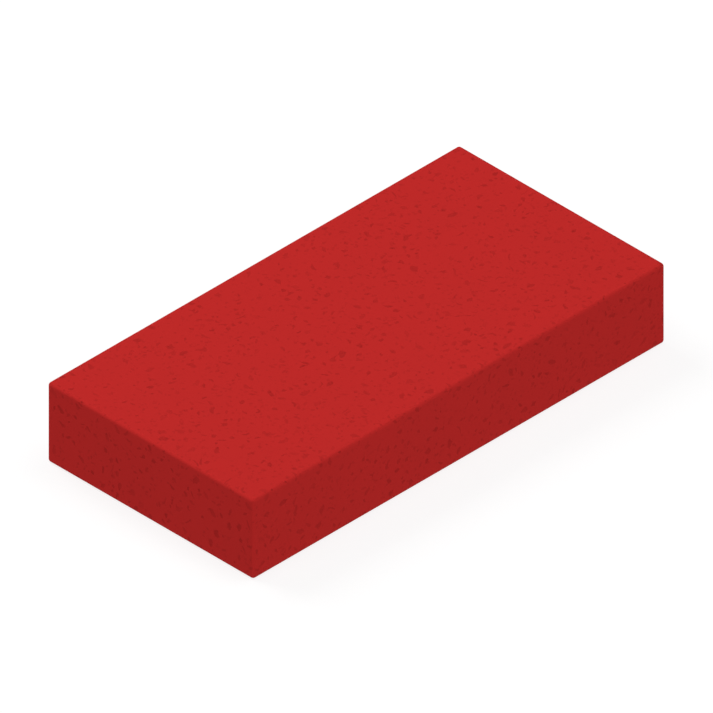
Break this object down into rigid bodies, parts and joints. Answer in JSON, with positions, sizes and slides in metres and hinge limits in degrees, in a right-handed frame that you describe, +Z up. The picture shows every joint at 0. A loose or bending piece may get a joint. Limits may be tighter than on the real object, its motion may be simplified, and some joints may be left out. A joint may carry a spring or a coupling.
{
  "type": "concrete wall cap",
  "caption": "Solid rectangular precast concrete block with eased edges, laid flat on the top course of a wall to finish it and shed rain.",
  "frame": {"origin": "middle of the bed face, the flat underside that lies on the wall", "axes": "+X along the wall, the cap's length; +Y across the wall, its width; +Z up, its height"},
  "size_m": [0.6096, 0.3048, 0.1016],
  "materials": {
    "red_concrete": "matte"
  },
  "bodies": {
    "root": {"wall_cap": "red_concrete"}
  },
  "joints": []
}
